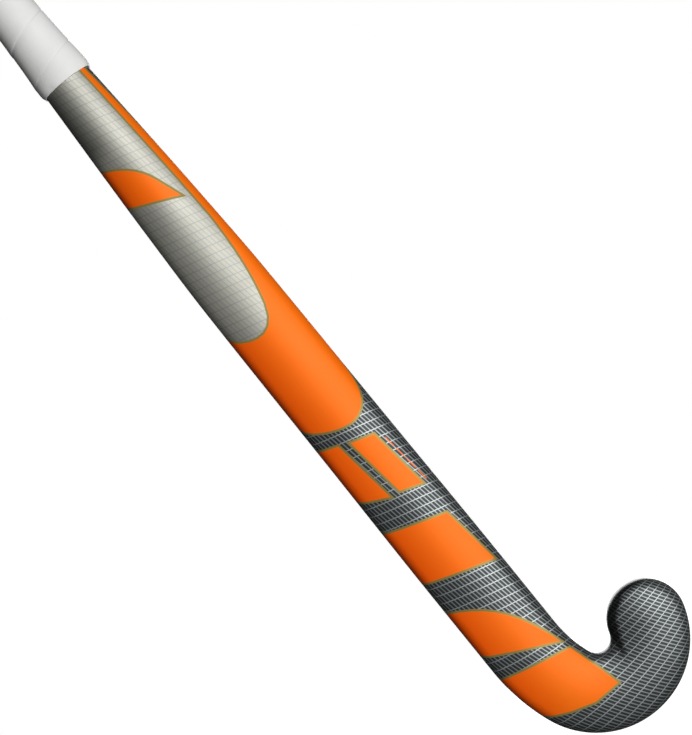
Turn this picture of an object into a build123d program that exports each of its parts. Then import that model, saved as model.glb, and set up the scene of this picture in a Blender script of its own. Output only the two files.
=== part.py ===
from build123d import *

import math
import os
from collections import namedtuple

# Field hockey stick of moulded composite, 36.5 inch size, right-handed.
#
# Row frame: +Z runs up the handle to the butt, +X is the side that the toe points to,
# +Y is the flat playing face and -Y the rounded back. The origin is on the handle's axis,
# in the middle of the round stretch of the grip.
# A "height" is measured up the unbent stick from the head's lowest point.

# ---------------------------------------------------------------- driving sizes, mm and degrees
STICK_LENGTH = 927.0  # lowest point of the head to the top of the butt cap
BOW_ANGLE = 6.0  # how far the head leans from the handle's axis, towards the playing face
BOW_TOP = 545.0  # height where the straight handle starts to bend
HEAD_TOP = 110.0  # height where the bend ends and the flat playing face starts

HEAD_WIDTH = 50.0  # the head is one band of this width, bent into the hook
HEAD_THICKNESS = 20.5
HOOK_INNER_RADIUS = 9.0
EASE_RADIUS = 107.0  # centre-line radius of the slow bend between shaft and hook
EASE_TURN = 20.0
HOOK_TURN = 143.4

HANDLE_DIAMETER = 29.4
ROUND_BOTTOM = 590.0  # the handle is round above this height
GRIP_BOTTOM = 539.0
GRIP_ROUND_TOP = 910.0
GRIP_TOP = 924.5
GRIP_THICKNESS = 1.7  # cushion wrap and the underlay beneath it
UNDERLAY_THICKNESS = 0.3
UNDERLAY_BOTTOM = 540.5
END_RING_THICKNESS = 0.45  # tape wound under the grip's lower end, which makes its swell
END_RING_BOTTOM = 541.0
END_RING_TOP = 551.0
TAPE_THICKNESS = 0.25
TAPE_SQUEEZE = 0.4  # how far the finishing tape pulls the cushion in

SHELL_WALL = 1.4
HEAD_WALL = 3.0
TUBE_WALL = 1.0
BLADDER_WALL = 0.25
CORE_TOP = 95.0  # the foam core fills the head up to this height
TUBE_TOP = 865.0
LAMINATE_TOP = 923.0

CAP_SPIGOT_LENGTH = 18.0
CAP_SPIGOT_WALL = 2.4
CAP_SHOULDER = 1.6  # straight side of the cap, below its dome

REACH = 1200.0  # larger than the stick, for the boxes that cut it

# Outer form of the laminate, from the handle down to the head.
Station = namedtuple("Station", "height width thickness face_edge back_edge crown")
HANDLE_RADIUS = HANDLE_DIAMETER / 2
STATIONS = (
    Station(ROUND_BOTTOM, HANDLE_DIAMETER, HANDLE_DIAMETER, HANDLE_RADIUS, HANDLE_RADIUS, HANDLE_RADIUS),
    Station(539.0, 33.2, 26.8, 9.5, 11.8, 19.0),
    Station(434.0, 42.9, 22.8, 6.0, 10.2, 33.0),
    Station(371.0, 46.8, 21.8, 5.2, 9.6, 42.0),
    Station(246.0, 48.4, 21.2, 4.6, 9.2, 50.0),
    Station(150.0, 49.9, HEAD_THICKNESS, 4.0, 9.0, 58.0),
    Station(HEAD_TOP, HEAD_WIDTH, HEAD_THICKNESS, 4.0, 9.0, 60.0),
)
HEAD = STATIONS[-1]
# Angles that cut the round handle's outline into as many arcs as the shaft's outline has edges.
ROUND_CUTS = (105, 75, 8, 0, -40, -140, -180, -188, -255)

# ---------------------------------------------------------------- derived places
ORIGIN_HEIGHT = (ROUND_BOTTOM + GRIP_ROUND_TOP) / 2
BOW_RADIUS = (BOW_TOP - HEAD_TOP) / math.radians(BOW_ANGLE)
HOOK_RADIUS = HOOK_INNER_RADIUS + HEAD_WIDTH / 2
HOOK_OUTER_RADIUS = HOOK_INNER_RADIUS + HEAD_WIDTH
CENTRE_STEP = EASE_RADIUS - HOOK_RADIUS
EASE_TOP = HOOK_OUTER_RADIUS + CENTRE_STEP * math.sin(math.radians(EASE_TURN))
GRIP_RADIUS = HANDLE_RADIUS + GRIP_THICKNESS
CAP_RADIUS = HANDLE_RADIUS + UNDERLAY_THICKNESS


# ---------------------------------------------------------------- section and centre line
def section(station, inset=0.0):
    """The laminate's cross-section, offset inwards: round, or a flat face, small face edges and a crowned back."""
    half = station.width / 2 - inset
    if station.crown == station.width / 2:
        return make_face([CenterArc((0, 0), half, b, a - b) for a, b in zip(ROUND_CUTS, ROUND_CUTS[1:])])
    face_y = station.thickness / 2 - inset
    face_radius = station.face_edge - inset
    back_radius = station.back_edge - inset
    crown_radius = station.crown - inset

    face_centre = half - face_radius
    back_centre = half - back_radius
    crown_y = crown_radius - face_y
    crown_step = crown_radius - back_radius
    back_y = crown_y - math.sqrt(crown_step**2 - back_centre**2)
    crown_half_angle = math.degrees(math.asin(back_centre / crown_step))

    low_angle = -90 + crown_half_angle
    face_edge_y = face_y - face_radius
    outline = [
        Line((-face_centre, face_y), (face_centre, face_y)),
        CenterArc((face_centre, face_edge_y), face_radius, 0, 90),
        Line((half, face_edge_y), (half, back_y)),
        CenterArc((back_centre, back_y), back_radius, low_angle, -low_angle),
        CenterArc((0, crown_y), crown_radius, -90 - crown_half_angle, 2 * crown_half_angle),
        CenterArc((-back_centre, back_y), back_radius, 180, -low_angle),
        Line((-half, back_y), (-half, face_edge_y)),
        CenterArc((-face_centre, face_edge_y), face_radius, 90, 90),
    ]
    return make_face(outline)


def station_at(height):
    """The laminate's station at any height between the first and last one."""
    upper, lower = next((a, b) for a, b in zip(STATIONS, STATIONS[1:]) if b.height <= height)
    share = (upper.height - height) / (upper.height - lower.height)
    return Station(*(a + share * (b - a) for a, b in zip(upper, lower)))


def on_spine(height):
    """Place and tilt of the centre line at a height, from the straight handle down to the end of the bow."""
    if height >= BOW_TOP:
        return Pos(0, 0, height - ORIGIN_HEIGHT)
    turn = (BOW_TOP - height) / BOW_RADIUS
    bow_y = BOW_RADIUS * (1 - math.cos(turn))
    bow_z = BOW_TOP - ORIGIN_HEIGHT - BOW_RADIUS * math.sin(turn)
    return Pos(0, bow_y, bow_z) * Rot(math.degrees(turn), 0, 0)


HEAD_PLACE = on_spine(HEAD_TOP) * Pos(0, 0, -HEAD_TOP)


# ---------------------------------------------------------------- forms
def head_form(inset, top):
    """The solid head below a height: a straight stretch, a slow bend, the hook and a half-round toe."""
    face = section(HEAD, inset)
    down = (0, -1, 0)
    turn = math.radians(EASE_TURN)
    ease_axis = Axis((EASE_RADIUS, 0, EASE_TOP), down)
    hook_centre = Vector(
        EASE_RADIUS - CENTRE_STEP * math.cos(turn),
        0,
        EASE_TOP - CENTRE_STEP * math.sin(turn),
    )
    hook_axis = Axis(hook_centre, down)
    toe_angle = math.radians(EASE_TURN + HOOK_TURN - 180)
    toe_centre = hook_centre + Vector(math.cos(toe_angle), 0, math.sin(toe_angle)) * HOOK_RADIUS
    toe_axis = Axis(toe_centre, down)

    straight = extrude(Pos(0, 0, EASE_TOP) * face, top - EASE_TOP)
    ease_start = Pos(0, 0, EASE_TOP) * face
    ease = revolve(ease_start, ease_axis, EASE_TURN)
    hook_start = ease_start.rotate(ease_axis, EASE_TURN)
    hook = revolve(hook_start, hook_axis, HOOK_TURN)

    outer_half = face & Pos(-HEAD_WIDTH / 2, 0, 0) * Rectangle(HEAD_WIDTH, HEAD_WIDTH)
    toe_start = (Pos(0, 0, EASE_TOP) * outer_half).rotate(ease_axis, EASE_TURN)
    toe = revolve(toe_start.rotate(hook_axis, HOOK_TURN), toe_axis, 180)
    return HEAD_PLACE * (straight + ease + hook + toe)


def handle_form(inset, low, high):
    """A length of the round handle."""
    return Pos(0, 0, (low + high) / 2 - ORIGIN_HEIGHT) * Cylinder(HANDLE_RADIUS - inset, high - low)


def shaft_form(inset, low, high):
    """The solid shaft and handle between two heights, low in the straight of the head and high in the handle."""
    bow = loft([on_spine(s.height) * section(s, inset) for s in STATIONS])
    shaft = handle_form(inset, ROUND_BOTTOM, high) + bow
    if low < HEAD_TOP:
        shaft += HEAD_PLACE * extrude(Pos(0, 0, low) * section(HEAD, inset), HEAD_TOP - low)
    return shaft


def sleeve_form(outsets):
    """A sleeve round the lower grip, through (height, distance outside the laminate) pairs."""
    return loft([on_spine(h) * section(station_at(h), -outset) for h, outset in outsets])


def above(height):
    """Everything higher than a height in the straight handle."""
    return Pos(0, 0, height - ORIGIN_HEIGHT + REACH / 2) * Box(REACH, REACH, REACH)


def beside_web(side, gap):
    """Everything on one side of the stick's middle plane, more than gap away from it."""
    return Pos(side * (gap + REACH / 2), 0, 0) * Box(REACH, REACH, REACH * 2)


# ---------------------------------------------------------------- pieces
def laminate_form():
    """The whole outside of the moulded stick, filled."""
    return head_form(0, HEAD_TOP) + shaft_form(0, HEAD_TOP, LAMINATE_TOP)


def outer_laminate(filled):
    """One-piece composite shell of shaft and head, open at the butt."""
    return filled - shaft_form(SHELL_WALL, CORE_TOP, LAMINATE_TOP) - head_form(HEAD_WALL, CORE_TOP)


def inner_tube(side):
    """One of the two tubes moulded side by side in the shaft; their flat sides make the centre web."""
    outside = shaft_form(SHELL_WALL, CORE_TOP, TUBE_TOP) & beside_web(side, 0)
    return outside - tube_bore(side, 0)


def tube_bore(side, film):
    """The space inside an inner tube, or inside its bladder when film is the bladder's wall."""
    wall = TUBE_WALL + film
    return shaft_form(SHELL_WALL + wall, CORE_TOP + wall, TUBE_TOP) & beside_web(side, wall)


def bladder(side):
    """Thin moulding bladder left inside an inner tube, closed at the head and open at the butt."""
    return tube_bore(side, 0) - tube_bore(side, BLADDER_WALL)


def head_core():
    """Rigid foam core of the head."""
    return head_form(HEAD_WALL, CORE_TOP)


def handle_plug():
    """Foam plug between the tubes and the butt cap."""
    return handle_form(SHELL_WALL, TUBE_TOP, LAMINATE_TOP - CAP_SPIGOT_LENGTH)


def butt_cap():
    """Moulded cap: a hollow spigot in the handle's bore and a domed top on its end."""
    low = LAMINATE_TOP - CAP_SPIGOT_LENGTH
    spigot = handle_form(SHELL_WALL, low, LAMINATE_TOP)
    hollow = handle_form(SHELL_WALL + CAP_SPIGOT_WALL, low, LAMINATE_TOP - CAP_SPIGOT_WALL)
    shoulder = CAP_SHOULDER
    top = STICK_LENGTH - LAMINATE_TOP
    sag = top - shoulder
    dome_radius = (CAP_RADIUS**2 + sag**2) / (2 * sag)
    dome = Pos(0, 0, top - dome_radius) * Sphere(dome_radius)
    disc = extrude(Circle(CAP_RADIUS), top) & dome
    return spigot - hollow + Pos(0, 0, LAMINATE_TOP - ORIGIN_HEIGHT) * disc


def adhesive_underlay(filled):
    """Double-sided tape that holds the grip on the laminate."""
    sleeve = shaft_form(-UNDERLAY_THICKNESS, HEAD_TOP, LAMINATE_TOP) & above(UNDERLAY_BOTTOM)
    return sleeve - filled


def grip_end_ring(filled, underlay):
    """Ring of tape wound over the underlay at the grip's lower end."""
    outset = UNDERLAY_THICKNESS + END_RING_THICKNESS
    ring = sleeve_form(((END_RING_TOP, outset), (END_RING_BOTTOM, outset)))
    return ring - filled - underlay


def cushion_grip(filled, underlay, ring):
    """Wound cushion grip as a plain sleeve, swollen over the end ring and squeezed in under the finishing tape."""
    swell = GRIP_THICKNESS + END_RING_THICKNESS
    lower = sleeve_form(
        (
            (ROUND_BOTTOM, GRIP_THICKNESS),
            (END_RING_TOP + 11, GRIP_THICKNESS),
            (END_RING_TOP, swell),
            (GRIP_BOTTOM + 4, swell),
            (GRIP_BOTTOM, GRIP_THICKNESS),
        )
    )
    round_length = GRIP_ROUND_TOP - ROUND_BOTTOM
    middle = Cylinder(GRIP_RADIUS, round_length)
    neck_length = GRIP_TOP - GRIP_ROUND_TOP
    neck = Cylinder(GRIP_RADIUS - TAPE_SQUEEZE - TAPE_THICKNESS, neck_length)
    body = lower + middle + Pos(0, 0, (round_length + neck_length) / 2) * neck
    return body - filled - underlay - ring - cap_space()


def cap_space():
    """The cylinder that the butt cap's shoulder takes up, above the laminate."""
    return Pos(0, 0, LAMINATE_TOP - ORIGIN_HEIGHT) * extrude(Circle(CAP_RADIUS), CAP_SHOULDER)


def finishing_tape():
    """Tape wound round the grip's upper end, level with or below the grip's surface."""
    outer = GRIP_RADIUS - TAPE_SQUEEZE
    length = GRIP_TOP - GRIP_ROUND_TOP
    band = Cylinder(outer, length) - Cylinder(outer - TAPE_THICKNESS, length)
    return Pos(0, 0, (GRIP_ROUND_TOP + GRIP_TOP) / 2 - ORIGIN_HEIGHT) * band


# ---------------------------------------------------------------- build and write
filled_stick = laminate_form()
underlay_sleeve = adhesive_underlay(filled_stick)
end_ring = grip_end_ring(filled_stick, underlay_sleeve)

pieces = {
    "outer_laminate": outer_laminate(filled_stick),
    "head_core": head_core(),
    "inner_tube_toe_side": inner_tube(1),
    "inner_tube_heel_side": inner_tube(-1),
    "bladder_toe_side": bladder(1),
    "bladder_heel_side": bladder(-1),
    "handle_plug": handle_plug(),
    "butt_cap": butt_cap(),
    "adhesive_underlay": underlay_sleeve,
    "grip_end_ring": end_ring,
    "cushion_grip": cushion_grip(filled_stick, underlay_sleeve, end_ring),
    "finishing_tape": finishing_tape(),
}

os.makedirs("parts", exist_ok=True)
for node, shape in pieces.items():
    export_step(shape, f"parts/{node}.step")
    print(node, [round(s.volume) for s in shape.solids()])
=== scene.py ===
import math

import bmesh
import bpy
from mathutils import Matrix, Vector


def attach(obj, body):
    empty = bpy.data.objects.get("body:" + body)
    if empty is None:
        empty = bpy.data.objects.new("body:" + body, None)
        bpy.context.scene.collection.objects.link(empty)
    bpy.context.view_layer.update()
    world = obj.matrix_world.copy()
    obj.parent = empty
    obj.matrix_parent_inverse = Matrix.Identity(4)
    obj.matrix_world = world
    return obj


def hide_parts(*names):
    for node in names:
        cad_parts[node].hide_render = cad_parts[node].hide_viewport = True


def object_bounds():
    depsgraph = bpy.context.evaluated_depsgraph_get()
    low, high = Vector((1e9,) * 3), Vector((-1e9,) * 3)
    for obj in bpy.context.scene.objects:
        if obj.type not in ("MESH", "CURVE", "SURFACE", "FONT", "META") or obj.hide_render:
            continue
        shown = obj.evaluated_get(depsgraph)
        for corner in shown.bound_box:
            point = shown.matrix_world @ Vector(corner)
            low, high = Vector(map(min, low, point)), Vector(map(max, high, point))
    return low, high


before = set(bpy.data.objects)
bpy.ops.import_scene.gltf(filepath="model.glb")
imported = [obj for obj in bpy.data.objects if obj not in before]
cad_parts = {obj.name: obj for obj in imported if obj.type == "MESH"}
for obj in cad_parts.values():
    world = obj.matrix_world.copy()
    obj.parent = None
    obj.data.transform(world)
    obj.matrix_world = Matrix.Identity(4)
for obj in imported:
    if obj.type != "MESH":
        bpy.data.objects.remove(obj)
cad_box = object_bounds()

MM = 0.001

# ---------------------------------------- sizes, mm and degrees, as in the CAD model
ORIGIN_HEIGHT = 750.0
BOW_TOP = 545.0
HEAD_TOP = 110.0
BOW_RADIUS = (BOW_TOP - HEAD_TOP) / math.radians(6.0)
EASE_RADIUS = 107.0
EASE_TURN = math.radians(20.0)
HOOK_RADIUS = 34.0
HOOK_OUTER_RADIUS = 59.0
HOOK_TURN = math.radians(143.4)
STEP = EASE_RADIUS - HOOK_RADIUS
EASE_TOP = HOOK_OUTER_RADIUS + STEP * math.sin(EASE_TURN)
HOOK_CENTRE = (EASE_RADIUS - STEP * math.cos(EASE_TURN), EASE_TOP - STEP * math.sin(EASE_TURN))
TOE_ANGLE = EASE_TURN + HOOK_TURN - math.pi
TOE_CENTRE = (
    HOOK_CENTRE[0] + HOOK_RADIUS * math.cos(TOE_ANGLE),
    HOOK_CENTRE[1] + HOOK_RADIUS * math.sin(TOE_ANGLE),
)
LAMINATE_TOP = 923.0
CORE_TOP = 95.0
SHELL_WALL = 1.4
HEAD_WALL = 3.0
GRIP_BOTTOM = 539.0
GRIP_TOP = 924.5
ROUND_BOTTOM = 590.0
HANDLE_RADIUS = 14.7

# height, width, thickness, face edge, back edge and crown radius of the shaft's section
STATIONS = (
    (539.0, 33.2, 26.8, 9.5, 11.8, 19.0),
    (434.0, 42.9, 22.8, 6.0, 10.2, 33.0),
    (371.0, 46.8, 21.8, 5.2, 9.6, 42.0),
    (246.0, 48.4, 21.2, 4.6, 9.2, 50.0),
    (150.0, 49.9, 20.5, 4.0, 9.0, 58.0),
    (110.0, 50.0, 20.5, 4.0, 9.0, 60.0),
)
# steps round half a section: crown, back edge, side, face edge, face
SPLITS = (12, 9, 2, 6, 8)
HALF = sum(SPLITS)
FACE_START = sum(SPLITS[:3])


# ---------------------------------------- section of the stick
def slopes(values):
    """Slopes of a smooth curve through the stations that doesn't overshoot."""
    heights = [s[0] for s in STATIONS]
    steps = [(b - a) / (hb - ha) for a, b, ha, hb in zip(values, values[1:], heights, heights[1:])]
    middle = [0.0 if a * b <= 0 else 2 * a * b / (a + b) for a, b in zip(steps, steps[1:])]
    return [steps[0], *middle, steps[-1]]


SLOPES = [slopes([s[k] for s in STATIONS]) for k in range(1, 6)]


def sizes_at(height):
    """Width, thickness and radii of the section at a height below the grip's end."""
    if height >= STATIONS[0][0]:
        return STATIONS[0][1:]
    if height <= STATIONS[-1][0]:
        return STATIONS[-1][1:]
    i = next(n for n, s in enumerate(STATIONS[1:]) if s[0] <= height)
    a, b = STATIONS[i], STATIONS[i + 1]
    span = b[0] - a[0]
    t = (height - a[0]) / span
    found = []
    for k in range(5):
        va, vb, ma, mb = a[k + 1], b[k + 1], SLOPES[k][i], SLOPES[k][i + 1]
        found.append(
            va * (1 + 2 * t) * (1 - t) ** 2
            + ma * span * t * (1 - t) ** 2
            + vb * t * t * (3 - 2 * t)
            + mb * span * t * t * (t - 1)
        )
    return found


def half_section(sizes, inset=0.0):
    """(x, y, length from the crown), from the middle of the back round the +X side to that of the face."""
    width, thickness, face_edge, back_edge, crown = sizes
    half = width / 2 - inset
    face_y = thickness / 2 - inset
    rf, rb, rc = face_edge - inset, back_edge - inset, crown - inset
    face_x, back_x = half - rf, half - rb
    crown_y = rc - face_y
    back_y = crown_y - math.sqrt((rc - rb) ** 2 - back_x**2)
    tilt = math.asin(back_x / (rc - rb))
    points = []

    def arc(cx, cy, radius, start, end, steps):
        for n in range(steps):
            a = start + (end - start) * n / steps
            points.append((cx + radius * math.cos(a), cy + radius * math.sin(a)))

    down = -math.pi / 2
    arc(0, crown_y, rc, down, down + tilt, SPLITS[0])
    arc(back_x, back_y, rb, down + tilt, 0, SPLITS[1])
    side_top = face_y - rf
    for n in range(SPLITS[2]):
        points.append((half, back_y + (side_top - back_y) * n / SPLITS[2]))
    arc(face_x, side_top, rf, 0, math.pi / 2, SPLITS[3])
    for n in range(SPLITS[4] + 1):
        points.append((face_x * (1 - n / SPLITS[4]), face_y))
    return measured(points)


ROUND_CUTS = (-90, -40, 0, 8, 75, 90)  # degrees between which each split lies on the round handle


def half_round(radius):
    """The same points on the round handle."""
    points = []
    for steps, a, b in zip(SPLITS, ROUND_CUTS, ROUND_CUTS[1:]):
        points += [math.radians(a + (b - a) * n / steps) for n in range(steps)]
    points.append(math.radians(90))
    return measured([(radius * math.cos(a), radius * math.sin(a)) for a in points])


def measured(points):
    """The points with the length of the line up to each."""
    length = 0.0
    found = []
    for n, (x, y) in enumerate(points):
        if n:
            length += math.dist((x, y), points[n - 1])
        found.append((x, y, length))
    return found


def section_at(height, inset=0.0):
    """Half a section at any height on the shaft or handle."""
    if height <= STATIONS[0][0]:
        return half_section(sizes_at(height), inset)
    t = min(1.0, (height - STATIONS[0][0]) / (ROUND_BOTTOM - STATIONS[0][0]))
    low = half_section(STATIONS[0][1:], inset)
    high = half_round(HANDLE_RADIUS - inset)
    return measured([(a[0] + t * (b[0] - a[0]), a[1] + t * (b[1] - a[1])) for a, b in zip(low, high)])


def full(half):
    """The whole outline: the half and its mirror image, with signed lengths and places in the half."""
    right = [(x, y, s, n) for n, (x, y, s) in enumerate(half)]
    left = [(-x, y, -s, n) for x, y, s, n in right[-2:0:-1]]
    return right + left


# ---------------------------------------- centre line
def on_bow(height, x, y):
    """Place in the frame, in mm, of a section's point. Below the bow, x and height are the head's plan."""
    bent = max(HEAD_TOP, min(BOW_TOP, height))
    turn = (BOW_TOP - bent) / BOW_RADIUS
    rest = height - bent
    bow_y = BOW_RADIUS * (1 - math.cos(turn))
    bow_z = BOW_TOP - ORIGIN_HEIGHT - BOW_RADIUS * math.sin(turn)
    sine, cosine = math.sin(turn), math.cos(turn)
    return Vector((x, bow_y + y * cosine - rest * sine, bow_z + y * sine + rest * cosine))


# Each plan gives x and height from a place along the stick and a distance across it.
def shaft_plan(height, across):
    return across, height


def ease_plan(angle, across):
    r = EASE_RADIUS - across
    return EASE_RADIUS - r * math.cos(angle), EASE_TOP - r * math.sin(angle)


def hook_plan(angle, across):
    r = max(0.5, HOOK_RADIUS - across)
    return HOOK_CENTRE[0] - r * math.cos(angle), HOOK_CENTRE[1] - r * math.sin(angle)


def toe_plan(angle, across):
    a = TOE_ANGLE + angle
    return TOE_CENTRE[0] + across * math.cos(a), TOE_CENTRE[1] + across * math.sin(a)


# ---------------------------------------- laminate mesh
FLAT = "flat"  # map in metres on which the artwork is drawn
BAKE = "OFBake"  # packed map, laid out for a bake
UPPER_RINGS = (LAMINATE_TOP, 860, 780, 700, 620, ROUND_BOTTOM, 575, 560, 550)  # heights under the grip
VISIBLE_TOP = 541  # height of the last ring that the grip hides
RING_STEP = 3  # mm between rings from there down
EASE_STEPS = 12
HOOK_STEPS = 56
TOE_STEPS = 60
BACK, FACE, BARE = range(3)  # places of the laminate's materials

# the bake's square, mm of unrolled laminate
SHEET = 342.0
STRIP_TOP = 336.0
STRIP_CUT = 208.0  # height at which the visible laminate is cut into two strips
SHAFT_MIDDLE = 65.0
HEAD_MIDDLE = 196.0
HALF_GIRTH = 63.0
NARROW_HALF = 14.0  # strips that are never seen are squeezed
NARROW_BOTTOM = 130.0
NARROW_LENGTH = 200.0
INNER_LEFT = 268.0
HIDDEN_LEFT = 300.0
RIM_LEFT = 332.0
TOE_LEFT = 266.0
# bottom, length and share of the width
TOE_PATCH = (6.0, 79.0, 1.0)
TOE_INNER_PATCH = (96.0, 25.0, 0.4)


def wall_rings(inset_shaft, inset_head):
    """Rings from the butt to the end of the hook: (half outline, plan, where along it)."""
    stepped = inset_shaft != inset_head
    rings = []
    heights = [*UPPER_RINGS]
    heights += [VISIBLE_TOP - RING_STEP * n for n in range(int((VISIBLE_TOP - EASE_TOP) / RING_STEP) + 1)]
    if stepped:
        heights = sorted([*heights, CORE_TOP], reverse=True)
    for h in heights:
        if h >= CORE_TOP:
            rings.append((section_at(h, inset_shaft), shaft_plan, h))
        if h < CORE_TOP or (h == CORE_TOP and stepped):
            rings.append((section_at(h, inset_head), shaft_plan, h))
    head = section_at(HEAD_TOP, inset_head)
    rings += [(head, ease_plan, EASE_TURN * n / EASE_STEPS) for n in range(EASE_STEPS + 1)]
    rings += [(head, hook_plan, EASE_TURN + HOOK_TURN * n / HOOK_STEPS) for n in range(1, HOOK_STEPS + 1)]
    return rings


def ring_points(ring):
    """(place in metres, x, signed length, place in the half) round a ring."""
    half, plan, where = ring
    found = []
    for x, y, s, n in full(half):
        px, ph = plan(where, x)
        found.append((on_bow(ph, px, y) * MM, x, s, n))
    return found


def laminate_mesh():
    """Outer wall, inner wall and the rim between them at the butt, as one closed mesh.

    The artwork's map is unrolled over the back and seen straight on for the face.
    """
    mesh = bmesh.new()
    flat = mesh.loops.layers.uv.new(FLAT)
    bake = mesh.loops.layers.uv.new(BAKE)
    count = 2 * HALF

    def add(corners, order, material):
        """Face from corners of (vertex, place on the artwork, place on the bake's square)."""
        used = [corners[m] for m in order]
        face = mesh.faces.new([corner[0] for corner in used])
        face.smooth = True
        face.material_index = material
        for loop, (_, drawn, packed) in zip(face.loops, used):
            loop[flat].uv = (drawn[0] * MM, drawn[1] * MM)
            loop[bake].uv = (packed[0] / SHEET, packed[1] / SHEET)

    def tube(rings, outward):
        """Wall from the butt to the end of the hook. Gives the vertices of its rings."""
        points = [ring_points(ring) for ring in rings]
        verts = [[mesh.verts.new(p[0]) for p in row] for row in points]
        along = [0.0]
        for a, b in zip(points, points[1:]):
            along.append(along[-1] + max((p[0] - q[0]).length for p, q in zip(a, b)) / MM)

        def first_below(height):
            return next(i for i, (_, plan, h) in enumerate(rings) if plan is shaft_plan and h <= height)

        visible, turn = first_below(VISIBLE_TOP), first_below(STRIP_CUT)

        def packed(i, signed, strip):
            narrow = (signed / HALF_GIRTH + 1) * NARROW_HALF
            if not outward:
                return INNER_LEFT + narrow, NARROW_BOTTOM + along[i] / along[-1] * NARROW_LENGTH
            if strip == 0:
                return HIDDEN_LEFT + narrow, NARROW_BOTTOM + along[i] / along[visible] * NARROW_LENGTH
            if strip == 1:
                return SHAFT_MIDDLE + signed, STRIP_TOP - (along[i] - along[visible])
            return HEAD_MIDDLE + signed, STRIP_TOP - (along[i] - along[turn])

        for i in range(len(rings) - 1):
            strip = 0 if i < visible else 1 if i < turn else 2
            for k in range(count):
                j = (k + 1) % count
                on_face = min(points[i][k][3], points[i][j][3]) >= FACE_START
                corners = []
                for r in (i, i + 1):
                    _, plan, where = rings[r]
                    for m in (k, j):
                        _, x, s, n = points[r][m]
                        if n == HALF and k >= HALF:
                            x, s = -x, -s  # the middle of the face, met from the -X side
                        corners.append((verts[r][m], plan(where, x if on_face else s), packed(r, s, strip)))
                order = (0, 1, 3, 2) if outward else (2, 3, 1, 0)
                add(corners, order, BARE if not outward else FACE if on_face else BACK)
        return verts

    def toe(half, ring, outward):
        """Half-round end of a wall, turned about the middle of its last ring."""
        columns = [[ring[0], *[ring[count - n] for n in range(1, HALF)], ring[HALF]]]
        for t in range(1, TOE_STEPS):
            column = [ring[0]]
            for x, y, _ in half[1:HALF]:
                px, ph = toe_plan(math.pi * t / TOE_STEPS, x)
                column.append(mesh.verts.new(on_bow(ph, px, y) * MM))
            columns.append([*column, ring[HALF]])
        columns.append(ring[: HALF + 1])
        bottom, length, share = TOE_PATCH if outward else TOE_INNER_PATCH
        for t in range(TOE_STEPS):
            for n in range(HALF):
                on_face = n >= FACE_START
                corners = []
                for turned in (t, t + 1):
                    for m in (n, n + 1):
                        x, _, s = half[m]
                        drawn = toe_plan(math.pi * turned / TOE_STEPS, x if on_face else s)
                        packed = (TOE_LEFT + s * share, bottom + length * turned / TOE_STEPS)
                        corners.append((columns[turned][m], drawn, packed))
                order = [0, 2, 3, 1] if outward else [1, 3, 2, 0]
                if n == 0:
                    order.remove(2)
                if n == HALF - 1:
                    order.remove(3)
                add(corners, order, BARE if not outward else FACE if on_face else BACK)

    rims = []
    for inset_shaft, inset_head, outward in ((0.0, 0.0, True), (SHELL_WALL, HEAD_WALL, False)):
        rings = wall_rings(inset_shaft, inset_head)
        verts = tube(rings, outward)
        toe(rings[-1][0], verts[-1], outward)
        rims.append(verts[0])
    outer, inner = rims
    for k in range(count):
        j = (k + 1) % count
        square = [(RIM_LEFT + a, NARROW_BOTTOM + k + b) for a, b in ((0, 0), (1, 0), (1, 1), (0, 1))]
        corners = [(v, (0, 0), place) for v, place in zip((outer[j], outer[k], inner[k], inner[j]), square)]
        add(corners, range(4), BARE)
    bmesh.ops.recalc_face_normals(mesh, faces=mesh.faces[:])
    return mesh


def new_object(name, mesh, materials):
    data = bpy.data.meshes.new(name)
    mesh.to_mesh(data)
    mesh.free()
    for material in materials:
        data.materials.append(material)
    piece = bpy.data.objects.new(name, data)
    bpy.context.scene.collection.objects.link(piece)
    return piece


# ---------------------------------------- grip mesh
WRAP_PITCH = 26.0
WRAP_START = 508.05  # height of the first overlap on the toe side
GRIP_TURN_STEPS = 72
# (share of the pitch, how far below the highest point, mm), from one overlap's edge to the next
WRAP_PROFILE = (
    (0.0, 0.34),
    (0.012, 0.14),
    (0.03, 0.02),
    (0.06, 0.0),
    (0.12, 0.03),
    (0.2, 0.1),
    (0.3, 0.13),
    (0.42, 0.15),
    (0.55, 0.16),
    (0.7, 0.18),
    (0.83, 0.2),
    (0.91, 0.24),
    (0.96, 0.32),
    (0.985, 0.42),
)
# (height, distance outside the laminate) of the wrap, as in the CAD model, with a rounded lower lip
WRAP_OUTSETS = (
    (GRIP_BOTTOM - 1, 0.5),
    (GRIP_BOTTOM, 0.75),
    (GRIP_BOTTOM + 0.5, 1.2),
    (GRIP_BOTTOM + 1.3, 1.65),
    (GRIP_BOTTOM + 2.6, 2.0),
    (GRIP_BOTTOM + 4.6, 2.2),
    (GRIP_BOTTOM + 8, 2.25),
    (551.0, 2.15),
    (556.0, 1.95),
    (562.0, 1.75),
    (575.0, 1.7),
    (909.3, 1.7),
    (910.4, 1.05),
    (GRIP_TOP + 2, 1.05),
)


def between(pairs, at):
    """Straight-line value between (place, value) pairs in rising order."""
    for (pa, va), (pb, vb) in zip(pairs, pairs[1:]):
        if at <= pb:
            t = max(0.0, (at - pa) / (pb - pa))
            return va + t * (vb - va)
    return pairs[-1][1]


WRAP_SWELL = ((GRIP_BOTTOM, 0.35), (552.0, 0.6), (566.0, 1.0))  # share of the profile's depth near the end
UNDERLAY = 0.32  # thickness of the tape between laminate and wrap
INNER_RING_HEIGHTS = (GRIP_BOTTOM, 551.0, 562.0, 575.0, ROUND_BOTTOM, GRIP_TOP)
WRAP_CREASE = math.radians(50)


def radius_table(height, outset):
    """(angle, radius) round half a section, from the back at -90 degrees to the face at 90."""
    return [(math.atan2(y, x), math.hypot(x, y)) for x, y, _ in section_at(height, -outset)]


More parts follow.
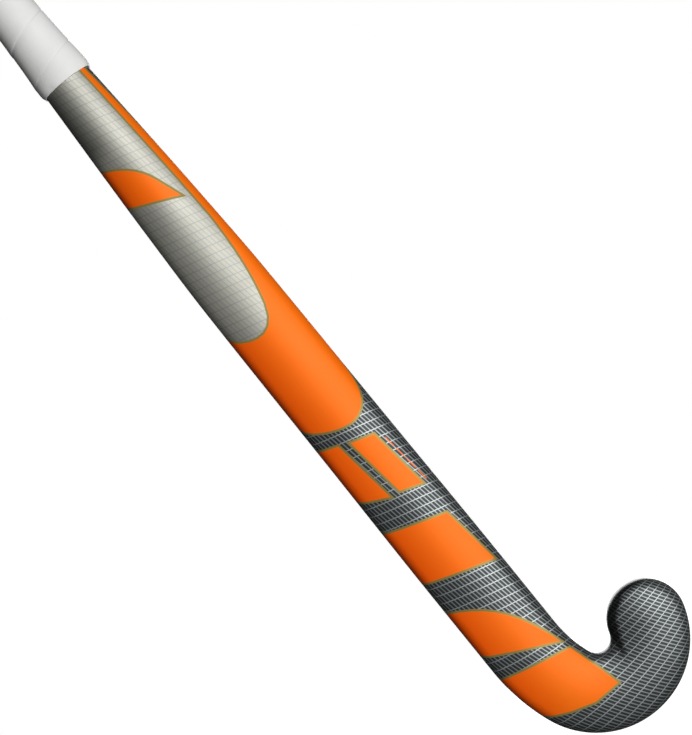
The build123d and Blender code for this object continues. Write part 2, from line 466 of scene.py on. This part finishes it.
def wrap_point(height, angle, depth):
    """Point of the wrap at a height and an angle from +X. depth is how far below its highest surface."""
    outset = between(WRAP_OUTSETS, height) - depth
    folded = math.asin(max(-1.0, min(1.0, math.sin(angle))))
    if height >= ROUND_BOTTOM:
        radius = HANDLE_RADIUS + outset
    else:
        radius = between(radius_table(height, outset), folded)
    return on_bow(height, radius * math.cos(angle), radius * math.sin(angle)) * MM


def grip_mesh():
    """A strip wound in overlapping turns, cut level at both ends and closed with a bore."""
    mesh = bmesh.new()
    uv = mesh.loops.layers.uv.new(FLAT)
    turns = int((GRIP_TOP - WRAP_START) / WRAP_PITCH) + 2
    rows = [(n + share, low) for n in range(turns) for share, low in WRAP_PROFILE]
    grid = []
    for phase, low in rows:
        line = []
        for j in range(GRIP_TURN_STEPS + 1):
            height = WRAP_START + WRAP_PITCH * (phase + j / GRIP_TURN_STEPS)
            angle = 2 * math.pi * j / GRIP_TURN_STEPS
            line.append((height, angle, low * between(WRAP_SWELL, height)))
        grid.append(line)
    per_turn = len(WRAP_PROFILE)
    verts = {}

    def vert(row, j):
        """Vertex of a row and a step; the end of one turn is the start of the next."""
        if j == GRIP_TURN_STEPS:
            row, j = row + per_turn, 0
        if row >= len(rows):
            return None
        if (row, j) not in verts:
            height, angle, depth = grid[row][j]
            verts[(row, j)] = mesh.verts.new(wrap_point(height, angle, depth))
        return verts[(row, j)]

    for row in range(len(rows) - 1):
        for j in range(GRIP_TURN_STEPS):
            places = ((row, j), (row, j + 1), (row + 1, j + 1), (row + 1, j))
            corners = [vert(r, step) for r, step in places]
            if None in corners:
                continue
            face = mesh.faces.new(corners)
            face.smooth = True
            for loop, (r, step) in zip(face.loops, places):
                loop[uv].uv = (step / GRIP_TURN_STEPS, rows[r][0])
    for height, upward in ((GRIP_BOTTOM, -1), (GRIP_TOP, 1)):
        bmesh.ops.bisect_plane(
            mesh,
            geom=mesh.verts[:] + mesh.edges[:] + mesh.faces[:],
            plane_co=on_bow(height, 0, 0) * MM,
            plane_no=(0, 0, upward),
            clear_outer=True,
        )
    open_edges = [edge for edge in mesh.edges if edge.is_boundary]
    loops = [[edge for edge in open_edges if (edge.verts[0].co.z < 0) == low] for low in (True, False)]
    inner_rings = []
    for height in INNER_RING_HEIGHTS:
        half = section_at(height, -UNDERLAY)
        inner_rings.append([mesh.verts.new(on_bow(height, x, y) * MM) for x, y, _, _ in full(half)])
    for a, b in zip(inner_rings, inner_rings[1:]):
        for k in range(len(a)):
            j = (k + 1) % len(a)
            mesh.faces.new((a[k], b[k], b[j], a[j])).smooth = True
    for edges, ring in zip(loops, (inner_rings[0], inner_rings[-1])):
        closing = [mesh.edges.get((ring[k], ring[(k + 1) % len(ring)])) for k in range(len(ring))]
        bmesh.ops.bridge_loops(mesh, edges=edges + closing)
    bmesh.ops.remove_doubles(mesh, verts=mesh.verts[:], dist=1e-6)
    bmesh.ops.recalc_face_normals(mesh, faces=mesh.faces[:])
    for edge in mesh.edges:
        if len(edge.link_faces) == 2 and edge.calc_face_angle(0) > WRAP_CREASE:
            edge.smooth = False
    return mesh


# ---------------------------------------- node helper
class Net:
    """A material's node tree, written as expressions."""

    def __init__(self, name):
        self.material = bpy.data.materials.new(name)
        self.material.use_nodes = True
        self.tree = self.material.node_tree
        self.shader = self.tree.nodes["Principled BSDF"]

    def add(self, kind, *values, **settings):
        node = self.tree.nodes.new(kind)
        for key, value in settings.items():
            setattr(node, key, value)
        for socket, value in zip(node.inputs, values):
            self.feed(socket, value)
        return node

    def feed(self, socket, value):
        if isinstance(value, bpy.types.NodeSocket):
            self.tree.links.new(value, socket)
        elif value is not None:
            socket.default_value = value

    def math(self, operation, *values, clamp=False):
        return self.add("ShaderNodeMath", *values, operation=operation, use_clamp=clamp).outputs[0]

    def vector(self, operation, *values):
        node = self.add("ShaderNodeVectorMath", *values, operation=operation)
        scalar = operation in ("DOT_PRODUCT", "DISTANCE", "LENGTH")
        return node.outputs["Value" if scalar else "Vector"]

    def lowest(self, *values):
        return self.fold("MINIMUM", values)

    def highest(self, *values):
        return self.fold("MAXIMUM", values)

    def fold(self, operation, values):
        found = values[0]
        for value in values[1:]:
            found = self.math(operation, found, value)
        return found

    def colour(self, factor, a, b):
        node = self.tree.nodes.new("ShaderNodeMix")
        node.data_type = "RGBA"
        self.feed(node.inputs["Factor"], factor)
        self.feed(node.inputs["A"], a if isinstance(a, bpy.types.NodeSocket) else (*a, 1))
        self.feed(node.inputs["B"], b if isinstance(b, bpy.types.NodeSocket) else (*b, 1))
        return node.outputs["Result"]

    def mix(self, factor, a, b):
        """Number between a and b."""
        return self.add("ShaderNodeMix", factor, None, a, b, data_type="FLOAT").outputs[0]

    def texture(self, kind, output, **values):
        node = self.tree.nodes.new(kind)
        for key, value in values.items():
            self.feed(node.inputs[key], value)
        return node.outputs[output]

    def noise(self, where, scale, detail=3.0, roughness=0.5):
        settings = {"Vector": where, "Scale": scale, "Detail": detail, "Roughness": roughness}
        return self.texture("ShaderNodeTexNoise", 0, **settings)

    def cells(self, where, scale):
        return self.texture("ShaderNodeTexVoronoi", "Distance", Vector=where, Scale=scale)

    def inside(self, distance, soft=0.14):
        """1 where the distance is below zero, 0 outside, with an edge 2 * soft mm wide."""
        return self.math("MULTIPLY_ADD", distance, -0.5 / soft, 0.5, clamp=True)

    def bump(self, height, strength, distance):
        node = self.tree.nodes.new("ShaderNodeBump")
        self.feed(node.inputs["Height"], height)
        self.feed(node.inputs["Strength"], strength)
        self.feed(node.inputs["Distance"], distance)
        self.tree.links.new(node.outputs[0], self.shader.inputs["Normal"])

    def finish(self, **sockets):
        for name, value in sockets.items():
            self.feed(self.shader.inputs[name.replace("_", " ")], value)
        return self.material

    def half_plane(self, p, a, b):
        """Distance in mm to the right of the line from a to b."""
        dx, dy = b[0] - a[0], b[1] - a[1]
        length = math.hypot(dx, dy)
        nx, ny = dy / length, -dx / length
        return self.vector("DOT_PRODUCT", p, (nx, ny, -(nx * a[0] + ny * a[1])))

    def polygon(self, p, points):
        """Distance outside a convex outline, drawn in either direction."""
        area = sum(a[0] * b[1] - b[0] * a[1] for a, b in zip(points, points[1:] + points[:1]))
        loop = list(points) if area > 0 else list(points)[::-1]
        return self.highest(*[self.half_plane(p, a, b) for a, b in zip(loop, loop[1:] + loop[:1])])

    def chain(self, p, points):
        """Distance in mm to the right of an open line that only bends to the left."""
        return self.highest(*[self.half_plane(p, a, b) for a, b in zip(points, points[1:])])


# ---------------------------------------- colours, linear
ORANGE = (1.0, 0.18, 0.003)
ORANGE_DEEP = (0.93, 0.15, 0.002)
ORANGE_PAINTED_SHADE = (0.99, 0.105, 0.001)  # painted shade: the orange is made a little redder towards the heel's side, its shaded side
GOLD = (0.27, 0.21, 0.058)
SILVER = (0.5, 0.49, 0.425)
SILVER_LINE = (0.33, 0.35, 0.35)
CELL = (0.025, 0.028, 0.029)
LINE = (0.46, 0.495, 0.495)
# colour of the painted shade at the silver's upper heel corner
PANEL_SHADE = (0.085, 0.09, 0.085)


# ---------------------------------------- printed grid
WARP_CENTRE = (244.0, 153.0)  # about which the grid turns below the shaft
WARP_OUT = (-0.9862, -0.1657)
WARP_DOWN = (0.1657, -0.9862)
WARP_RADIUS = 247.4
CROSS_SLANT = (0.4155, 0.9098)  # the cross lines aren't square to the shaft
CROSS_PERIOD = 5.6
# period of the lengthwise lines, their width and the cross lines' width, mm
DARK_GRID = (2.25, 0.66, 0.5)
PALE_GRID = (2.6, 0.62, 0.5)
GOLD_WIDTH = 1.5


def grid_places(net, p):
    """(across, along) of the printed grid in mm: straight on the shaft, turning with the hook."""
    q = net.vector("SUBTRACT", p, (*WARP_CENTRE, 1.0))
    out = net.vector("DOT_PRODUCT", q, (*WARP_OUT, 0.0))
    down = net.vector("DOT_PRODUCT", q, (*WARP_DOWN, 0.0))
    bent = net.math("GREATER_THAN", down, 0.0)
    radius = net.vector("LENGTH", q)
    angle = net.math("MULTIPLY", net.math("ARCTAN2", down, out), WARP_RADIUS)
    return net.mix(bent, out, radius), net.mix(bent, down, angle)


def stripes(net, place, period, width, soft):
    """1 on lines of that width, one every period."""
    phase = net.math("PINGPONG", place, period / 2)
    return net.inside(net.math("SUBTRACT", phase, width / 2), soft)


def grid_colour(net, out, along, fine, cell, line, widths, faint):
    """Colour of a printed grid and how much of it is line. faint is the lengthwise lines' strength."""
    period, lengthwise_width, cross_width = widths
    lengthwise = stripes(net, out, period, lengthwise_width, 0.16)
    cross = stripes(net, along, CROSS_PERIOD, cross_width, 0.13)
    drawn = net.highest(net.math("MULTIPLY", lengthwise, faint), cross)
    drawn = net.math("MULTIPLY", drawn, fine)
    return net.colour(drawn, cell, line), drawn


def toe_painted_shade(net, p, across, height):
    """Painted shade along the toe's inner edge, where the grid is lost in the dark: 1 over the head, low
    along that edge.
    """
    beyond = net.chain(p, TOE_EDGE)
    toe_side = net.math("SUBTRACT", across, TOE_EDGE_START[0])
    higher = net.math("MULTIPLY", net.math("SUBTRACT", height, TOE_EDGE_START[1]), 0.4)
    depth = net.lowest(beyond, toe_side, higher)
    return net.highest(net.math("MULTIPLY_ADD", depth, -0.3, 1.0, clamp=True), 0.1)


def lacquer(name, shapes, silver_above, upper_shade):
    """Printed and lacquered laminate, with painted shade on the heel's side, in the crook and along the toe's
    inner edge.

    shapes gives the distance to the orange and how much of a thin line is there. silver_above gives the
    distance to the silver. upper_shade is how dark the painted shade at the silver's upper heel corner is.
    """
    net = Net(name)
    uv = net.add("ShaderNodeUVMap", uv_map=FLAT).outputs[0]
    p = net.vector("MULTIPLY_ADD", uv, (1000.0, 1000.0, 1.0), (0.0, 0.0, 1.0))
    across, height = net.add("ShaderNodeSeparateXYZ", p).outputs[:2]
    solid = net.add("ShaderNodeTexCoord").outputs["Object"]
    out, down = grid_places(net, p)
    slanted = [net.math("MULTIPLY", place, share) for place, share in zip((out, down), CROSS_SLANT)]
    along = net.math("ADD", *slanted)

    grain = net.noise(solid, 2600.0, 2.0, 0.6)
    cloud = net.noise(solid, 38.0, 3.0, 0.55)
    from_crook = net.vector("DISTANCE", p, (*HOOK_CENTRE, 1.0))
    # painted shade: the grid lines fade towards the crook's inner edge
    crook_painted_shade = net.math("MULTIPLY_ADD", from_crook, 0.09, -0.2, clamp=True)
    toe = toe_painted_shade(net, p, across, height)
    # random wear of the grid lines, times the painted shade of the crook and the toe
    wear_and_painted_shade = net.math("MULTIPLY_ADD", net.noise(solid, 420.0, 3.0, 0.6), 0.5, 0.72, clamp=True)
    wear_and_painted_shade = net.math("MULTIPLY", net.math("MULTIPLY", wear_and_painted_shade, crook_painted_shade), toe)

    cell = net.colour(net.noise(solid, 900.0, 3.0, 0.6), CELL, tuple(2.2 * c for c in CELL))
    # painted shade: the cells darken along the toe's inner edge
    cell = net.colour(toe, tuple(0.15 * c for c in CELL), cell)
    dark, dark_lines = grid_colour(net, out, along, wear_and_painted_shade, cell, LINE, DARK_GRID, 0.6)
    pale_base = net.colour(grain, tuple(0.93 * c for c in SILVER), SILVER)
    pale, _ = grid_colour(net, out, along, wear_and_painted_shade, pale_base, SILVER_LINE, PALE_GRID, 0.75)
    # painted shade: the silver darkens towards its upper heel corner, above about 483 mm and on the heel's
    # side
    shade = net.math("MULTIPLY_ADD", height, 0.08, -38.6, clamp=True)
    shade = net.math("MULTIPLY", shade, net.math("MULTIPLY_ADD", across, -0.09, -0.3, clamp=True))
    pale = net.colour(net.math("MULTIPLY", shade, upper_shade), pale, PANEL_SHADE)

    orange_distance, thin_line = shapes(net, p)
    silver = net.inside(silver_above(net, p, height))
    gold = net.inside(net.math("SUBTRACT", orange_distance, GOLD_WIDTH))
    orange = net.math("MAXIMUM", net.inside(orange_distance), thin_line)
    paint = net.colour(net.math("MULTIPLY_ADD", cloud, 0.5, grain), ORANGE_DEEP, ORANGE)
    # painted shade: the orange turns redder towards the heel's side
    paint = net.colour(net.math("MULTIPLY_ADD", across, 0.0385, 0.92, clamp=True), ORANGE_PAINTED_SHADE, paint)
    colour = net.colour(silver, dark, pale)
    colour = net.colour(gold, colour, net.colour(grain, GOLD, tuple(1.15 * c for c in GOLD)))
    colour = net.colour(orange, colour, paint)

    metal = net.mix(silver, net.mix(dark_lines, 0.5, 0.7), 0.85)
    metal = net.mix(orange, net.mix(gold, metal, 0.35), 0.15)
    rough = net.mix(orange, net.mix(silver, 0.46, 0.6), 0.52)
    rough = net.math("ADD", rough, net.math("MULTIPLY_ADD", cloud, 0.1, -0.05))

    edge = net.math("MULTIPLY", net.math("ADD", orange, gold), 0.5)
    relief = net.math("ADD", net.math("MULTIPLY", edge, 0.5), net.math("MULTIPLY", dark_lines, 0.12))
    relief = net.math("ADD", relief, net.math("MULTIPLY", grain, 0.12))
    net.bump(relief, 0.35, 0.00005)
    return net.finish(
        Base_Color=colour,
        Metallic=metal,
        Roughness=rough,
        Coat_Weight=0.04,
        Coat_Roughness=0.3,
        Specular_IOR_Level=0.15,
    )


# ---------------------------------------- artwork, mm across and up the unrolled stick
def curve(a, b, c, d, steps=8):
    """Points of a smooth curve from a towards b and past c to d, without d."""
    found = []
    for n in range(steps):
        t = n / steps
        u = 1 - t
        shares = (u**3, 3 * u * u * t, 3 * u * t * t, t**3)
        found.append(tuple(sum(w * p[k] for w, p in zip(shares, (a, b, c, d))) for k in range(2)))
    return found


# silver with a round lower end, between the heel's side and the orange stripe
SILVER_PANEL = [
    *curve((11.2, 560.0), (14.5, 505.0), (17.3, 465.0), (18.65, 417.0)),
    *curve((18.65, 417.0), (18.0, 396.0), (16.5, 375.0), (10.0, 352.8)),
    *curve((10.0, 352.8), (2.5, 328.0), (-18.5, 340.5), (-26.0, 349.4)),
    (-26.0, 349.4),
    (-60.0, 390.0),
    (-60.0, 560.0),
]
# the long orange band goes down to here
BAND_END = [
    (-40.0, 700.0),
    (-40.0, 293.5),
    *curve((-25.5, 277.3), (-17.0, 268.0), (-2.0, 261.3), (7.0, 262.0)),
    *curve((7.0, 262.0), (17.0, 263.5), (23.0, 272.0), (26.3, 288.0)),
    (26.3, 288.0),
    (60.0, 460.0),
    (60.0, 700.0),
]
# the orange stripe's edge on the toe side, and the line that no silver passes
STRIPE_EDGE = ((15.6, 541.0), (24.5, 472.0))
PANEL_LIMIT = ((27.0, 300.0), (27.0, 541.0))
# painted shade darkens the grid beyond this line, to the toe side of the start's x and above its height
TOE_EDGE = [(95.0, 69.4), (83.5, 70.0), (69.3, 70.8), (57.6, 62.2), (52.5, 51.7), (48.6, 40.6)]
TOE_EDGE_START = (43.0, 38.0)
# orange shapes from the grip to the head
PENNANT = [
    (-40.0, 487.8),
    *curve((-18.0, 478.8), (-8.0, 474.6), (0.5, 467.0), (4.8, 456.0)),
    (4.8, 456.0),
    (11.4, 438.4),
    (-40.0, 461.4),
]
UPPER_BAR = [(-40.0, 264.7), (-11.4, 255.2), (-5.9, 210.7), (-40.0, 227.2)]
LOWER_BAR = [(-4.0, 251.9), (10.9, 247.1), (15.7, 204.9), (1.2, 209.9)]
BLOCK = [(-40.0, 199.0), (15.7, 180.6), (21.2, 139.8), (-40.0, 160.0)]
SWEEP = [
    (-60.0, 136.0),
    *curve((-26.0, 130.8), (6.0, 118.0), (17.5, 93.5), (31.8, 30.9), 12),
    (31.8, 30.9),
    (13.6, 30.3),
    (-2.5, 35.2),
    (-21.5, 43.3),
    (-60.0, 62.0),
]
# the sweep is cut between these two lines
SLASH_TOP = ((-30.0, 99.0), (24.0, 72.0))
SLASH_BOTTOM = ((-30.0, 78.0), (24.0, 66.0))
SILVER_BOTTOM = 300.0  # height, under the orange band
DASH_PERIOD = 9.5
DASH_LENGTH = 7.6
THIN_LINE = [(15.0, 242.4), (15.7, 242.1), (19.9, 204.6), (19.2, 204.9)]
# the face: silver beside this line, and the orange's lower end
FACE_SILVER = ((-23.0, 349.0), (20.0, 505.0))
FACE_END = [
    (-60.0, 318.0),
    *curve((-24.0, 288.0), (-12.0, 278.2), (12.0, 272.0), (22.0, 318.0), 12),
    (22.0, 318.0),
    (60.0, 500.0),
    (60.0, 900.0),
    (-60.0, 900.0),
]


def back_shapes(net, p):
    """Distance to the back's orange, and how much of the dashed line is at the place."""
    silver = net.polygon(p, SILVER_PANEL)
    band = net.highest(
        net.math("MULTIPLY", silver, -1.0), net.polygon(p, BAND_END), net.half_plane(p, *STRIPE_EDGE[::-1])
    )
    sweep = net.polygon(p, SWEEP)
    pieces = [
        band,
        net.polygon(p, PENNANT),
        net.polygon(p, UPPER_BAR),
        net.polygon(p, LOWER_BAR),
        net.polygon(p, BLOCK),
        net.highest(sweep, net.half_plane(p, *SLASH_TOP)),
        net.highest(sweep, net.half_plane(p, *SLASH_BOTTOM[::-1])),
    ]
    height = net.add("ShaderNodeSeparateXYZ", p).outputs[1]
    dashes = stripes(net, height, DASH_PERIOD, DASH_LENGTH, 0.4)
    return net.lowest(*pieces), net.math("MULTIPLY", net.inside(net.polygon(p, THIN_LINE)), dashes)


def face_shapes(net, p):
    """Distance to the face's orange. The face has no dashed line."""
    return net.highest(net.half_plane(p, *FACE_SILVER[::-1]), net.polygon(p, FACE_END)), 0.0


def back_silver(net, p, height):
    above = net.math("SUBTRACT", SILVER_BOTTOM, height)
    return net.highest(above, net.half_plane(p, *STRIPE_EDGE[::-1]), net.half_plane(p, *PANEL_LIMIT))


def face_silver(net, p, height):
    return net.half_plane(p, *FACE_SILVER)


# ---------------------------------------- other finishes
def plain(name, low, high, scale, roughness, relief):
    """A finish of two close tones, mottled at a scale, with a fine relief."""
    net = Net(name)
    where = net.add("ShaderNodeTexCoord").outputs["Object"]
    mottle = net.noise(where, scale, 4.0, 0.6)
    fine = net.noise(where, scale * 9, 2.0, 0.6)
    net.bump(net.math("MULTIPLY_ADD", mottle, 0.6, fine), 0.4, relief)
    rough = net.math("MULTIPLY_ADD", fine, 0.16, roughness - 0.08)
    return net.finish(Base_Color=net.colour(mottle, low, high), Roughness=rough)


def woven(name, low, high, period):
    """A cloth-reinforced laminate: a twill of two tones on flat-sided tubes."""
    net = Net(name)
    where = net.add("ShaderNodeTexCoord").outputs["Object"]
    parts = net.add("ShaderNodeSeparateXYZ", where).outputs
    side = net.math("ADD", parts[0], parts[1])
    a = net.math("PINGPONG", net.math("ADD", side, parts[2]), period)
    b = net.math("PINGPONG", net.math("SUBTRACT", side, parts[2]), period)
    weave = net.math("DIVIDE", net.math("ABSOLUTE", net.math("SUBTRACT", a, b)), period, clamp=True)
    weave = net.mix(0.3, weave, net.noise(where, 900.0))
    net.bump(weave, 0.4, 0.0001)
    rough = net.math("MULTIPLY_ADD", weave, 0.2, 0.32)
    return net.finish(Base_Color=net.colour(weave, low, high), Roughness=rough, Metallic=0.1)


def wrap_finish():
    """White polyurethane overgrip: fine pores, faint stretch marks and a soft shadow at each overlap."""
    net = Net("grip_white")
    uv = net.add("ShaderNodeUVMap", uv_map=FLAT).outputs[0]
    turn = net.add("ShaderNodeSeparateXYZ", uv).outputs[1]
    overlap_shadow = net.inside(net.math("SUBTRACT", net.math("PINGPONG", turn, 0.5), 0.012), 0.012)
    where = net.add("ShaderNodeTexCoord").outputs["Object"]
    pores = net.cells(where, 1500.0)
    soft = net.noise(where, 90.0, 4.0, 0.6)
    colour = net.colour(soft, (0.74, 0.745, 0.735), (0.83, 0.83, 0.82))
    # painted shadow along each overlap's edge
    colour = net.colour(net.math("MULTIPLY", overlap_shadow, 0.3), colour, (0.5, 0.5, 0.49))
    net.bump(net.math("MULTIPLY_ADD", soft, 0.8, pores), 0.3, 0.00012)
    rough = net.math("MULTIPLY_ADD", pores, 0.15, 0.55)
    return net.finish(Base_Color=colour, Roughness=rough, Sheen_Weight=0.08, Specular_IOR_Level=0.35)


bare = woven("laminate_inside", (0.03, 0.032, 0.034), (0.075, 0.078, 0.08), 0.0012)
laminate = new_object(
    "laminate_shell",
    laminate_mesh(),
    [
        lacquer("printed_back", back_shapes, back_silver, 0.62),
        lacquer("printed_face", face_shapes, face_silver, 0.0),
        bare,
    ],
)
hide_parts("outer_laminate")
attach(laminate, "root")

grip = new_object("wound_grip", grip_mesh(), [wrap_finish()])
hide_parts("cushion_grip")
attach(grip, "root")

foam = plain("foam_core", (0.62, 0.5, 0.3), (0.74, 0.63, 0.42), 900.0, 0.85, 0.0003)
film = plain("bladder_film", (0.5, 0.52, 0.5), (0.6, 0.62, 0.6), 200.0, 0.4, 0.0001)
backing = plain("tape_backing", (0.6, 0.55, 0.42), (0.7, 0.65, 0.52), 500.0, 0.7, 0.0001)
NODE_FINISH = {
    "head_core": foam,
    "handle_plug": foam,
    "inner_tube_toe_side": bare,
    "inner_tube_heel_side": bare,
    "bladder_toe_side": film,
    "bladder_heel_side": film,
    "butt_cap": plain("cap_rubber", (0.018, 0.018, 0.02), (0.035, 0.035, 0.038), 700.0, 0.6, 0.0002),
    "adhesive_underlay": backing,
    "grip_end_ring": backing,
    "finishing_tape": plain("tape_vinyl", (0.022, 0.022, 0.024), (0.04, 0.04, 0.042), 260.0, 0.32, 0.00012),
}
for node, finish in NODE_FINISH.items():
    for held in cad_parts[node].material_slots:
        held.material = finish


# ---------------------------------------- camera, light and floor
CAMERA_TURN = math.radians(-3.5)
CAMERA_DISTANCE = 2.4
TARGET = Vector((0.0235, 0.0078, -0.4595))
FRAME_HEIGHT = 0.4594  # metres across the frame's longer side, at the target
ROLL = (0.77717, 0.62928)  # cosine and sine of the photo's turn about the view
STICK_MIDDLE = Vector((0.02, 0.01, -0.4))
scene = bpy.context.scene

forward = Vector((0, math.cos(CAMERA_TURN), -math.sin(CAMERA_TURN)))
level_up = Vector((0, math.sin(CAMERA_TURN), math.cos(CAMERA_TURN)))
right = ROLL[0] * Vector((1, 0, 0)) - ROLL[1] * level_up
up = ROLL[1] * Vector((1, 0, 0)) + ROLL[0] * level_up
camera_data = bpy.data.cameras.new("camera")
camera_data.lens = camera_data.sensor_width * CAMERA_DISTANCE / FRAME_HEIGHT
camera_data.clip_end = 100.0
camera = bpy.data.objects.new("camera", camera_data)
scene.collection.objects.link(camera)
spot = TARGET - forward * CAMERA_DISTANCE
camera.matrix_world = Matrix([(right[k], up[k], -forward[k], spot[k]) for k in range(3)]).to_4x4()
scene.camera = camera


def area_light(name, azimuth, distance, height, size, power):
    """Soft light that faces the stick. Azimuth, in degrees, is 0 on the camera's side and 90 on the toe's."""
    data = bpy.data.lights.new(name, "AREA")
    data.shape = "RECTANGLE"
    data.size, data.size_y = size
    data.energy = power
    lamp = bpy.data.objects.new(name, data)
    a = math.radians(azimuth)
    lamp.location = (distance * math.sin(a), -distance * math.cos(a), height)
    aim = STICK_MIDDLE - lamp.location
    lamp.rotation_euler = aim.to_track_quat("-Z", "Y").to_euler()
    scene.collection.objects.link(lamp)


area_light("key", azimuth=26, distance=2.0, height=-0.55, size=(1.1, 2.4), power=49)
area_light("face_side", azimuth=178, distance=2.2, height=0.0, size=(1.2, 2.2), power=40)

world = bpy.data.worlds.new("studio")
scene.world = world
world.use_nodes = True
tree = world.node_tree
sky = tree.nodes["Background"]
sky.inputs["Color"].default_value = (1, 1, 1, 1)
dim = tree.nodes.new("ShaderNodeBackground")
dim.inputs["Color"].default_value = (1, 1, 1, 1)
dim.inputs["Strength"].default_value = 0.06
rays = tree.nodes.new("ShaderNodeLightPath")
choice = tree.nodes.new("ShaderNodeMixShader")
tree.links.new(rays.outputs["Is Camera Ray"], choice.inputs[0])
tree.links.new(dim.outputs[0], choice.inputs[1])
tree.links.new(sky.outputs[0], choice.inputs[2])
tree.links.new(choice.outputs[0], tree.nodes["World Output"].inputs["Surface"])

floor_net = Net("floor_pale")
floor_where = floor_net.add("ShaderNodeTexCoord").outputs["Object"]
floor_tone = floor_net.colour(floor_net.noise(floor_where, 6.0), (0.2, 0.2, 0.2), (0.22, 0.22, 0.22))
floor_material = floor_net.finish(Base_Color=floor_tone, Roughness=0.9, Emission_Strength=1.0)
floor_net.shader.inputs["Emission Color"].default_value = (1, 1, 1, 1)
floor_mesh = bmesh.new()
bmesh.ops.create_grid(floor_mesh, x_segments=8, y_segments=8, size=4.0)
floor = new_object("floor", floor_mesh, [floor_material])
floor.location = (0, 0, cad_box[0][2] - 0.0005)
floor.visible_diffuse = False
floor.visible_glossy = False
floor.visible_shadow = False

scene.view_settings.view_transform = "Standard"
scene.view_settings.look = "None"

bpy.context.view_layer.update()
